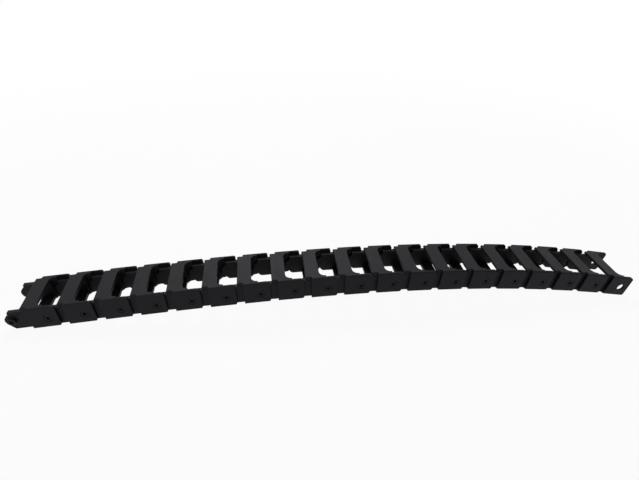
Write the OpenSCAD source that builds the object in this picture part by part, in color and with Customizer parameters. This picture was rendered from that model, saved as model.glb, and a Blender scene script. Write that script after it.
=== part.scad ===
/* [Chain] */
// distance between two pivots
pitch = 28; // [26:0.5:36]
// clear width between the cheeks, where the cables lie
inner_width = 30; // [20:1:60]
// clear height between the top and bottom crossbars
inner_height = 15; // [13.5:0.5:18]
// radius of the pivots' circle when every link is bent to its stop
bend_radius = 100; // [90:5:200]
// bend at the first joint as the chain lies, degrees
first_bend = 0.1; // [0:0.1:1]
// bend at the last joint as the chain lies, degrees
last_bend = 1.6; // [0.2:0.1:2]

/* [Walls] */
// crossbar thickness
bar_thick = 2.9; // [2.4:0.1:3.5]
// inner wall thickness, which carries the pin
cheek_thick = 3.5; // [3:0.1:5]
// outer wall thickness, which carries the bore
plate_thick = 2.2; // [1.8:0.1:3]
// rounding along the long outer edges of the plates
edge_radius = 1.3; // [0.8:0.1:1.8]
// rounding along the long outer edges of the cheeks
neck_radius = 1; // [0.6:0.1:1.4]
// rounding of the plate corners at the bore end
corner_radius = 2.8; // [2:0.1:3.6]
// rounding of the plate corners at the crossbar end
root_radius = 0.8; // [0.5:0.1:1.2]

/* [Crossbars] */
// left pivot to the crossbars' near edge
bar_start = 9.3; // [8.8:0.1:10.2]
// top crossbar width along the chain
top_bar = 11.6; // [10.5:0.1:12.4]
// bottom crossbar width along the chain
bottom_bar = 10; // [8.5:0.1:11.4]
// radius where a crossbar flares into the side rails
flare_radius = 5; // [4:0.25:7]
// width of the side rail inside each plate
rail_width = 1.4; // [1:0.1:2]
// chamfer along the crossbars' long edges
bar_chamfer = 0.5; // [0.3:0.1:0.8]

/* [Plates] */
// left pivot to the plates' left edge
plate_start = 14; // [13.5:0.1:14.5]
// plate beyond the bore's axis
plate_nose = 7.7; // [7:0.1:8.2]

/* [Pivots] */
// pin diameter
pin_dia = 6.9; // [6:0.1:7.2]
// radial clearance between the pin and its bore
pin_clear = 0.05; // [0.03:0.01:0.09]
// pivot axis below the middle of the link's height
pivot_drop = 1.1; // [0.5:0.1:1.5]
// pin end below the plate's outer face
pin_recess = 0.1; // [0.05:0.05:0.4]
// diameter of the dimple in the pin's end
dimple_dia = 3.2; // [2:0.1:4]
// depth of the dimple
dimple_depth = 1.4; // [0.6:0.1:2]
// lead-in chamfer at the pin's tip
lead_in = 0.4; // [0.2:0.1:0.6]

/* [Cheek end] */
// radius of the round lobe about the pin
lobe_radius = 5.6; // [5:0.1:6]
// angle of the flat chin under the lobe, back from upright
chin_angle = 37; // [34:1:42]
// radius where the chin turns into the bottom edge
heel_radius = 3.2; // [2.4:0.1:4]
// left pivot to the upright face of the shoulder
shoulder_back = 1.4; // [1:0.1:2]
// shoulder's top below the crossbar's underside
shoulder_drop = 0.4; // [0.3:0.1:1]

/* [Clearances] */
// gap between a cheek and the plate beside it
side_gap = 0.3; // [0.2:0.05:0.5]
// gap at the straightening stop
stop_gap = 0.3; // [0.2:0.05:0.5]
// angle left at the bending stop when a link is bent fully
bend_margin = 0.8; // [0.4:0.1:1.5]
// gap between a moving edge and what it sweeps past
sweep_gap = 0.5; // [0.3:0.05:0.8]

/* [Stops] */
// how far the stop lugs stand in from the plate's inner face
lug_depth = 1.9; // [1.6:0.1:2.4]

/* [Output] */
// which piece to build

/* [Hidden] */
NODES = ["link_01", "link_02", "link_03", "link_04", "link_05", "link_06", "link_07", "link_08",
         "link_09", "link_10", "link_11", "link_12", "link_13", "link_14", "link_15", "link_16",
         "link_17", "link_18", "link_19"];
$fn = 96;
nylon = "#2b2c30";
over = 1;

// across the chain, from its middle plane outwards
cheek_in = inner_width / 2;
cheek_out = cheek_in + cheek_thick;
plate_in = cheek_out + side_gap;
plate_out = plate_in + plate_thick;

// heights above the pivot axis
half_height = inner_height / 2 + bar_thick;
top_z = pivot_drop + half_height;
bottom_z = pivot_drop - half_height;
ceiling_z = top_z - bar_thick;
floor_z = bottom_z + bar_thick;
shoulder_z = ceiling_z - shoulder_drop;

// along the link, from its left pivot
top_bar_end = bar_start + top_bar;
bottom_bar_end = bar_start + bottom_bar;
plate_end = pitch + plate_nose;
top_rail_end = pitch - shoulder_back - stop_gap;

bore_r = pin_dia / 2 + pin_clear;
bend_limit = 2 * asin(pitch / (2 * bend_radius));
// the heel's arc touches both the chin and the bottom edge
heel_z = bottom_z + heel_radius;
heel_x = (heel_radius - lobe_radius - heel_z * sin(chin_angle)) / cos(chin_angle);

// the pose in which the chain lies: joint bends, link headings and pivots before levelling
joints = len(NODES) - 1;
function bend(i) = first_bend + (last_bend - first_bend) * (i - 1) / max(1, joints - 1);
function heading(i) = i <= 1 ? 0 : heading(i - 1) + bend(i - 1);
function pivot(i) = i <= 1 ? [0, 0]
    : pivot(i - 1) + pitch * [cos(heading(i - 1)), -sin(heading(i - 1))];
function at(i, x, z) = pivot(i) + [x * cos(heading(i)) + z * sin(heading(i)),
                                   z * cos(heading(i)) - x * sin(heading(i))];

// the chain rests on the heels of its first link and the bottom corners of its last link
first_foot = at(1, heel_x, heel_z);
last_foot = at(len(NODES), plate_end - corner_radius, bottom_z + corner_radius);
foot_line = last_foot - first_foot;
levelling = atan2(foot_line[1], foot_line[0]) - asin((corner_radius - heel_radius) / norm(foot_line));
function levelled(p) = [p[0] * cos(levelling) + p[1] * sin(levelling),
                        p[1] * cos(levelling) - p[0] * sin(levelling)];
lift = heel_radius - levelled(first_foot)[1];
left_end = levelled(pivot(1))[0] - lobe_radius;
right_end = levelled(at(len(NODES), plate_end - corner_radius, top_z - corner_radius))[0] + corner_radius;
middle = (left_end + right_end) / 2;

// moves a link, drawn with its left pivot at the origin, to its place in the chain
module in_place(i) {
    p = levelled(pivot(i));
    translate([p[0] - middle, 0, p[1] + lift]) rotate([0, heading(i) + levelling, 0]) children();
}

// draws a side view, x along the link and y up, as a slab between two distances across the chain
module slab(from, to) {
    translate([0, to, 0]) rotate([90, 0, 0]) linear_extrude(height = to - from) children();
}

module both_sides() {
    children();
    mirror([0, 1, 0]) children();
}

// a bar of rounded section along the link, which trims the long outer edges of what it holds
module rounded_length(half_width, r) {
    translate([-lobe_radius - over, 0, 0]) rotate([90, 0, 90])
        linear_extrude(height = plate_end + lobe_radius + 2 * over) union() {
            translate([-half_width + r, bottom_z]) square([2 * (half_width - r), top_z - bottom_z]);
            translate([-half_width, bottom_z + r]) square([2 * half_width, top_z - bottom_z - 2 * r]);
            for (y = [-half_width + r, half_width - r], z = [bottom_z + r, top_z - r])
                translate([y, z]) circle(r = r);
        }
}

module plate_outline() {
    x1 = plate_start;
    x2 = plate_end;
    translate([x1 + root_radius, bottom_z])
        square([x2 - corner_radius - x1 - root_radius, top_z - bottom_z]);
    translate([x1, bottom_z + root_radius])
        square([corner_radius, top_z - bottom_z - 2 * root_radius]);
    translate([x2 - 2 * corner_radius, bottom_z + corner_radius])
        square([2 * corner_radius, top_z - bottom_z - 2 * corner_radius]);
    for (z = [bottom_z + root_radius, top_z - root_radius])
        translate([x1 + root_radius, z]) circle(r = root_radius);
    for (z = [bottom_z + corner_radius, top_z - corner_radius])
        translate([x2 - corner_radius, z]) circle(r = corner_radius);
}

// the outer walls: each carries a bore for the next link's pin
module plates() {
    intersection() {
        both_sides() slab(plate_in, plate_out) plate_outline();
        rounded_length(plate_out, edge_radius);
    }
}

// everything ahead of a line that touches the lobe and leans back from upright
module ahead_of_chin(lean) {
    rotate(lean) translate([-lobe_radius, -pitch]) square([pitch, pitch]);
}

module cheek_outline() {
    facing = [-cos(chin_angle), -sin(chin_angle)];
    heel = [heel_x, heel_z];
    circle(r = lobe_radius);
    translate(heel) circle(r = heel_radius);
    polygon([[0, 0], lobe_radius * facing, heel + heel_radius * facing, heel,
             [heel_x, over], [0, over]]);
    translate([-shoulder_back, 0]) square([shoulder_back + top_bar_end, shoulder_z]);
    translate([heel_x, bottom_z]) square([top_bar_end - heel_x, over - bottom_z]);
}

// the inner walls: each has a lobe with a pin, a squared shoulder and a round heel
module cheeks() {
    intersection() {
        both_sides() slab(cheek_in, cheek_out) cheek_outline();
        rounded_length(cheek_out, neck_radius);
    }
}

// where inner and outer walls run side by side they are one thickness
module wall_joint() {
    both_sides() slab(cheek_out - over, plate_in + over / 2)
        translate([plate_start + root_radius, bottom_z + edge_radius])
            square([top_bar_end - plate_start - root_radius, top_z - bottom_z - 2 * edge_radius]);
}

// a crossbar seen from above: it starts inside the cheeks' width and flares into the side rails
module bar_plan(bar_end, rail_end) {
    difference() {
        union() {
            translate([bar_start, -cheek_out]) square([plate_start - bar_start + over, 2 * cheek_out]);
            translate([plate_start, -plate_in]) square([rail_end - plate_start, 2 * plate_in]);
        }
        bay = plate_in - rail_width;
        translate([bar_end + flare_radius, -bay]) square([pitch, 2 * bay]);
        translate([bar_end, -bay + flare_radius]) square([pitch, 2 * (bay - flare_radius)]);
        for (side = [-1, 1])
            translate([bar_end + flare_radius, side * (bay - flare_radius)]) circle(r = flare_radius);
    }
}

// trims the two long edges of a crossbar's outer face
module bar_section(bar_end) {
    c = bar_chamfer;
    polygon([[bar_start + c, top_z], [bar_start, top_z - c], [bar_start, ceiling_z + c],
             [bar_start + c, ceiling_z], [bar_end + pitch, ceiling_z], [bar_end + pitch, top_z]]);
}

module top_crossbar() {
    intersection() {
        translate([0, 0, ceiling_z]) linear_extrude(height = bar_thick) bar_plan(top_bar_end, top_rail_end);
        slab(-plate_in - over, plate_in + over) bar_section(top_bar_end);
        union() {
            rounded_length(cheek_out, neck_radius);
            translate([plate_start, -plate_in, bottom_z]) cube([pitch, 2 * plate_in, top_z - bottom_z]);
        }
    }
}

module bottom_crossbar() {
    difference() {
        intersection() {
            translate([0, 0, bottom_z]) linear_extrude(height = bar_thick)
                bar_plan(bottom_bar_end, pitch - shoulder_back);
            union() {
                rounded_length(cheek_out, neck_radius);
                translate([plate_start, -plate_in, bottom_z])
                    cube([pitch, 2 * plate_in, top_z - bottom_z]);
            }
        }
        heel_room();
    }
}

// the room that the next link's lobe and chin need when it is bent to its stop
module heel_room() {
    slab(-plate_in - over, plate_in + over) translate([pitch, 0]) {
        circle(r = lobe_radius + sweep_gap);
        ahead_of_chin(chin_angle - bend_limit - bend_margin);
    }
}

// lugs inside the plates: the shoulder meets the upper one when the chain is straightened,
// and the chin meets the lower one when it is bent
module stop_lugs() {
    difference() {
        both_sides() slab(plate_in - lug_depth, plate_in + over / 2) {
            translate([top_bar_end - over, lobe_radius / 2])
                square([top_rail_end - top_bar_end + over, ceiling_z + over - lobe_radius / 2]);
            translate([bottom_bar_end - over, bottom_z + edge_radius])
                square([pitch - shoulder_back - bottom_bar_end, -lobe_radius / 2 - bottom_z - edge_radius]);
        }
        heel_room();
    }
}

// a round pin on each cheek, chamfered at its tip and dimpled
module pins() {
    both_sides() difference() {
        union() {
            translate([0, cheek_out - over, 0]) rotate([-90, 0, 0])
                cylinder(d = pin_dia, h = plate_out - pin_recess - lead_in - cheek_out + over);
            translate([0, plate_out - pin_recess - lead_in, 0]) rotate([-90, 0, 0])
                cylinder(d1 = pin_dia, d2 = pin_dia - 2 * lead_in, h = lead_in);
        }
        translate([0, plate_out - pin_recess - dimple_depth, 0]) rotate([-90, 0, 0])
            cylinder(d = dimple_dia, h = dimple_depth + over);
    }
}

module bores() {
    translate([pitch, plate_out + over, 0]) rotate([90, 0, 0])
        cylinder(r = bore_r, h = 2 * (plate_out + over));
}

module link() {
    difference() {
        union() {
            plates();
            cheeks();
            wall_joint();
            top_crossbar();
            bottom_crossbar();
            stop_lugs();
        }
        bores();
    }
    pins();
}

module link_01() { color(nylon) in_place(1) link(); }
module link_02() { color(nylon) in_place(2) link(); }
module link_03() { color(nylon) in_place(3) link(); }
module link_04() { color(nylon) in_place(4) link(); }
module link_05() { color(nylon) in_place(5) link(); }
module link_06() { color(nylon) in_place(6) link(); }
module link_07() { color(nylon) in_place(7) link(); }
module link_08() { color(nylon) in_place(8) link(); }
module link_09() { color(nylon) in_place(9) link(); }
module link_10() { color(nylon) in_place(10) link(); }
module link_11() { color(nylon) in_place(11) link(); }
module link_12() { color(nylon) in_place(12) link(); }
module link_13() { color(nylon) in_place(13) link(); }
module link_14() { color(nylon) in_place(14) link(); }
module link_15() { color(nylon) in_place(15) link(); }
module link_16() { color(nylon) in_place(16) link(); }
module link_17() { color(nylon) in_place(17) link(); }
module link_18() { color(nylon) in_place(18) link(); }
module link_19() { color(nylon) in_place(19) link(); }

link_01();
link_02();
link_03();
link_04();
link_05();
link_06();
link_07();
link_08();
link_09();
link_10();
link_11();
link_12();
link_13();
link_14();
link_15();
link_16();
link_17();
link_18();
link_19();
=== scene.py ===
import math

import bpy
import numpy as np
from mathutils import Matrix, Vector

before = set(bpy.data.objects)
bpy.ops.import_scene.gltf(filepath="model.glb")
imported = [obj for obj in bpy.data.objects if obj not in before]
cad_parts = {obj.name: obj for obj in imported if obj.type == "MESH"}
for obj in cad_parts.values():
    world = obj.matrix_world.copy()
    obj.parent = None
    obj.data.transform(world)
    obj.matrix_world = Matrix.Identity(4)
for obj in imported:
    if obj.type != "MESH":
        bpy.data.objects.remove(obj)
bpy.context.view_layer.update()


# ---- Camera -------------------------------------------------------------------------------
# Held above and in front of the chain, near its pin end, and looking down at about 35 degrees.
# The chain runs away to the right, so its far end is drawn smaller.
EYE = Vector((-0.0744, -0.3126, 0.2817))
AIM = Vector((-0.022, 0.0, 0.0628))
ROLL = math.radians(3.28)
SENSOR = 36.0
LENS = 26.21
NEAREST_SEEN = 0.01
FURTHEST_SEEN = 50.0

camera_data = bpy.data.cameras.new("camera")
camera_data.sensor_width = SENSOR
camera_data.lens = LENS
camera_data.clip_start = NEAREST_SEEN
camera_data.clip_end = FURTHEST_SEEN
camera = bpy.data.objects.new("camera", camera_data)
gaze = (AIM - EYE).to_track_quat("-Z", "Y").to_matrix().to_4x4()
camera.matrix_world = Matrix.Translation(EYE) @ gaze @ Matrix.Rotation(ROLL, 4, "Z")
bpy.context.scene.collection.objects.link(camera)
bpy.context.scene.camera = camera


# ---- The nineteen links -------------------------------------------------------------------
# Each link is one injection moulding in black glass-filled nylon: two side walls and two
# crossbars. Its pins snap into the bores of the link before it. The tool's walls are spark
# eroded, so every face has a fine matt grain, and handling polishes and scuffs the edges.
class Socket:
    """A shader socket that takes part in Python expressions; each operator adds a Math node."""

    def __init__(self, tree, link):
        self.tree = tree
        self.link = link

    def add(self, kind, settings=None, out=0, **inputs):
        """Adds a node, makes its settings, then feeds its inputs: i2 is the third, From_Min by name."""
        made = self.tree.nodes.new(kind)
        for name, value in (settings or {}).items():
            setattr(made, name, value)
        for name, value in inputs.items():
            numbered = name[0] == "i" and name[1:].isdigit()
            key = int(name[1:]) if numbered else name.replace("_", " ")
            target = made.inputs[key]
            if isinstance(value, Socket):
                self.tree.links.new(value.link, target)
            else:
                target.default_value = value
        return Socket(self.tree, made.outputs[out] if made.outputs else None)

    def maths(self, operation, first, second=0.0, clamp=False):
        settings = {"operation": operation, "use_clamp": clamp}
        return self.add("ShaderNodeMath", settings, i0=first, i1=second)

    def __add__(self, other):
        return self.maths("ADD", self, other)

    __radd__ = __add__

    def __sub__(self, other):
        return self.maths("SUBTRACT", self, other)

    def __rsub__(self, other):
        return self.maths("SUBTRACT", other, self)

    def __mul__(self, other):
        return self.maths("MULTIPLY", self, other)

    __rmul__ = __mul__

    def clamped(self):
        return self.maths("ADD", self, 0.0, clamp=True)

    def step(self, start, end):
        """Rises smoothly from 0 where the socket is start to 1 where it is end."""
        settings = {"interpolation_type": "SMOOTHSTEP"}
        return self.add("ShaderNodeMapRange", settings, Value=self, From_Min=start, From_Max=end)


def noise(at, size, detail=2.0, rough=0.5, stretch=(1.0, 1.0, 1.0)):
    """Noise whose lumps are about size metres across, drawn out along the axes by stretch."""
    scaled = at.add("ShaderNodeMapping", i0=at, i3=tuple(1.0 / (size * s) for s in stretch))
    return at.add("ShaderNodeTexNoise", Vector=scaled, Scale=1.0, Detail=detail, Roughness=rough)


def tint(share, plain, marked):
    """The colour plain where share is 0, turning to the colour marked where it is 1."""
    return share.add("ShaderNodeMix", {"data_type": "RGBA"}, 2, i0=share, i6=plain, i7=marked)


def moulded_nylon(name):
    """Black glass-filled nylon as it comes from the tool, then handled and dragged about."""
    black = (0.0054, 0.0058, 0.0078, 1.0)
    flow_black = (0.0080, 0.0086, 0.0112, 1.0)
    worn_grey = (0.036, 0.037, 0.04, 1.0)
    dust_grey = (0.06, 0.06, 0.058, 1.0)
    edge_round = 0.00035
    flow_size, patch_size, speck_size, dust_size = 0.011, 0.006, 0.0011, 0.02
    scratch_size, scratch_run = 0.0009, (14.0, 1.0, 1.0)
    cross_size, cross_run = 0.0008, (1.0, 16.0, 1.0)
    grain_size, grain_height = 0.00028, 0.000022
    ripple_size, ripple_height = 0.0045, 0.00004
    matt_finish = 0.5
    grain_scuffed_off = 0.5
    refraction, gloss = 1.5, 0.13

    material = bpy.data.materials.new(name)
    material.use_nodes = True
    tree = material.node_tree
    shader = tree.nodes["Principled BSDF"]
    base = Socket(tree, None)
    place = base.add("ShaderNodeTexCoord", out=3)

    # corners catch the light as a real mould's small edge radii do
    rounded = base.add("ShaderNodeBevel", {"samples": 4}, Radius=edge_round)
    flat = base.add("ShaderNodeNewGeometry", out=1)
    facing = base.add("ShaderNodeVectorMath", {"operation": "DOT_PRODUCT"}, 1, i0=rounded, i1=flat)
    edge = (1.0 - facing).step(0.004, 0.16)

    flow = noise(place, flow_size, 3.0, 0.55, (1.0, 1.8, 1.0)).step(0.35, 0.7)
    patches = noise(place, patch_size, 4.0, 0.6).step(0.42, 0.66)
    scratches = noise(place, scratch_size, 2.0, 0.5, scratch_run).step(0.66, 0.74)
    cross_scratches = noise(place, cross_size, 2.0, 0.5, cross_run).step(0.68, 0.76)
    scuffed = ((scratches + cross_scratches) * patches).clamped()
    worn = (edge * (patches * 0.75 + 0.25)).clamped()

    # a little dust lies on what faces up
    up = base.add("ShaderNodeSeparateXYZ", out=2, Vector=flat).step(0.6, 0.95)
    specks = noise(place, speck_size, 3.0, 0.7).step(0.6, 0.72)
    dust = up * specks * noise(place, dust_size, 2.0).step(0.4, 0.65)

    colour = tint(flow, black, flow_black)
    colour = tint(worn * 0.55, colour, worn_grey)
    colour = tint(scuffed * 0.4, colour, worn_grey)
    colour = tint(dust * 0.22, colour, dust_grey)
    tree.links.new(colour.link, shader.inputs["Base Color"])

    matt = matt_finish + flow * 0.08 + dust * 0.12 - worn * 0.1 + scuffed * 0.06
    tree.links.new(matt.link, shader.inputs["Roughness"])

    # the spark-eroded grain, over slow ripples where the walls sank a little as they cooled
    grain = noise(place, grain_size, 2.0, 0.6)
    ripple = noise(place, ripple_size, 1.0)
    sunk = base.add("ShaderNodeBump", Height=ripple, Distance=ripple_height,
                    Strength=1.0, Normal=rounded)
    grained = base.add("ShaderNodeBump", Height=grain - scuffed * grain_scuffed_off,
                       Distance=grain_height, Strength=1.0, Normal=sunk)
    tree.links.new(grained.link, shader.inputs["Normal"])
    shader.inputs["IOR"].default_value = refraction
    shader.inputs["Specular IOR Level"].default_value = gloss
    return material


link_nylon = moulded_nylon("link_nylon")
for name, link in sorted(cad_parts.items()):
    link.data.materials.clear()
    link.data.materials.append(link_nylon)


# ---- Floor and backdrop -------------------------------------------------------------------
# A white table that runs on into a white background. It isn't part of the chain: it takes the
# chain's soft shadow, and lets the chain show through where it hangs lower than the table.
FLOOR_HALF = 8.0
FLOOR_ALBEDO = (0.9, 0.9, 0.9, 1.0)
BOUNCE_ALBEDO = (0.4, 0.4, 0.4, 1.0)
FLOOR_SHARE = 0.06
SHADOW_NEAR = 0.35
SHADOW_FAR = 0.9


def table_top(half):
    """A flat square: its corners are the four pairs of minus and plus half, at height zero."""
    u, v = np.meshgrid((-half, half), (-half, half))
    corners = np.stack((u.ravel(), v.ravel(), np.zeros(4)), axis=1)
    mesh = bpy.data.meshes.new("floor")
    mesh.from_pydata(corners.tolist(), [], [(0, 1, 3, 2)])
    return bpy.data.objects.new("floor", mesh)


def white_table(name):
    """Nearly clear to the camera and the lamps, over a white sky; matt grey to bounced light."""
    material = bpy.data.materials.new(name)
    material.use_nodes = True
    tree = material.node_tree
    tree.nodes.clear()
    base = Socket(tree, None)
    to_camera, to_lamp, glossy, through = (base.add("ShaderNodeLightPath", out=k) for k in (0, 1, 3, 6))
    seen = (to_camera + to_lamp + glossy + through).clamped()
    place = base.add("ShaderNodeTexCoord", out=3)
    away = base.add("ShaderNodeVectorMath", {"operation": "LENGTH"}, 1, i0=place)
    from_below = base.add("ShaderNodeNewGeometry", out=6)
    near = 1.0 - away.step(SHADOW_NEAR, SHADOW_FAR)
    share = near * FLOOR_SHARE * (1.0 - to_lamp) * (1.0 - from_below)
    clear = base.add("ShaderNodeBsdfTransparent", Color=(1.0, 1.0, 1.0, 1.0))
    pale = base.add("ShaderNodeBsdfDiffuse", Color=FLOOR_ALBEDO)
    to_eye = base.add("ShaderNodeMixShader", i0=share, i1=clear, i2=pale)
    plain = base.add("ShaderNodeBsdfDiffuse", Color=BOUNCE_ALBEDO)
    shown = base.add("ShaderNodeMixShader", i0=seen, i1=plain, i2=to_eye)
    base.add("ShaderNodeOutputMaterial", Surface=shown)
    return material


floor = table_top(FLOOR_HALF)
floor.data.materials.append(white_table("floor_white"))
bpy.context.scene.collection.objects.link(floor)


# ---- Light --------------------------------------------------------------------------------
# Plain soft light: a broad lamp above and behind, a weaker one low in front, and an even pale
# sky. The camera and mirrors see the sky as white.
def soft_lamp(name, place, aim, size, watts):
    lamp_data = bpy.data.lights.new(name, "AREA")
    lamp_data.shape = "DISK"
    lamp_data.size = size
    lamp_data.energy = watts
    lamp = bpy.data.objects.new(name, lamp_data)
    place, aim = Vector(place), Vector(aim)
    turn = (aim - place).to_track_quat("-Z", "Y").to_matrix().to_4x4()
    lamp.matrix_world = Matrix.Translation(place) @ turn
    bpy.context.scene.collection.objects.link(lamp)


soft_lamp("lamp_overhead", (-0.1, 0.7, 1.0), (0.0, 0.0, 0.0), 0.7, 8.2)
soft_lamp("lamp_front", (-0.55, -1.2, 0.28), (0.0, 0.0, 0.02), 0.5, 3.2)

SKY_LIGHT = 0.1
world = bpy.data.worlds.new("sky")
world.use_nodes = True
bpy.context.scene.world = world
sky_tree = world.node_tree
sky_tree.nodes.clear()
sky = Socket(sky_tree, None)
seen_rays = sum(sky.add("ShaderNodeLightPath", out=k) for k in (0, 3, 6))
lit = sky.add("ShaderNodeBackground", Color=(1.0, 1.0, 1.0, 1.0), Strength=SKY_LIGHT)
white = sky.add("ShaderNodeBackground", Color=(1.0, 1.0, 1.0, 1.0), Strength=1.0)
shown_sky = sky.add("ShaderNodeMixShader", i0=seen_rays.clamped(), i1=lit, i2=white)
sky.add("ShaderNodeOutputWorld", Surface=shown_sky)

bpy.context.scene.view_settings.view_transform = "Standard"
